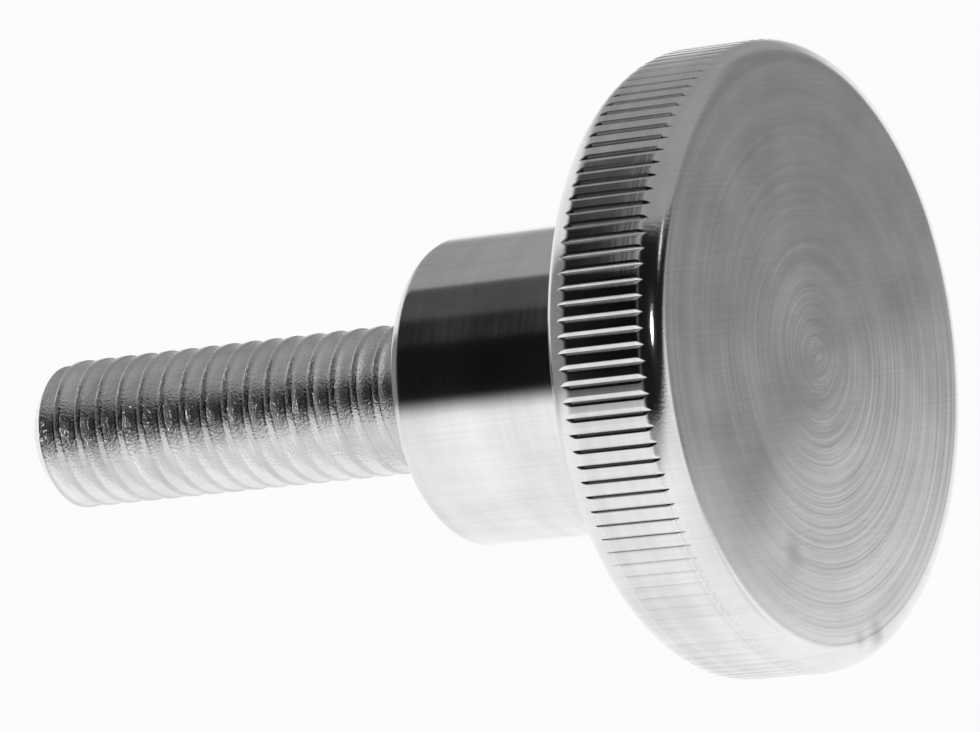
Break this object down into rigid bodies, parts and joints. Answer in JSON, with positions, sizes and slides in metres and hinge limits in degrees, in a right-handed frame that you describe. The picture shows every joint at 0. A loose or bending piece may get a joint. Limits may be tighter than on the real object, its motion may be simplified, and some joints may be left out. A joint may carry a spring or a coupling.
{
  "type": "thumb screw",
  "caption": "Metal thumb screw with a flat knurled head, a round collar and a threaded shank, turned by hand to clamp or adjust.",
  "frame": {"origin": "centre of the head's flat face, on which the screw stands", "axes": "+Z along the screw's axis, from the head's face towards the end of the shank"},
  "size_m": [0.024, 0.024, 0.0344],
  "materials": {
    "metal": "turned bright, with fine concentric tool marks on the face"
  },
  "bodies": {
    "root": {"thumb_screw": "metal"}
  },
  "joints": []
}
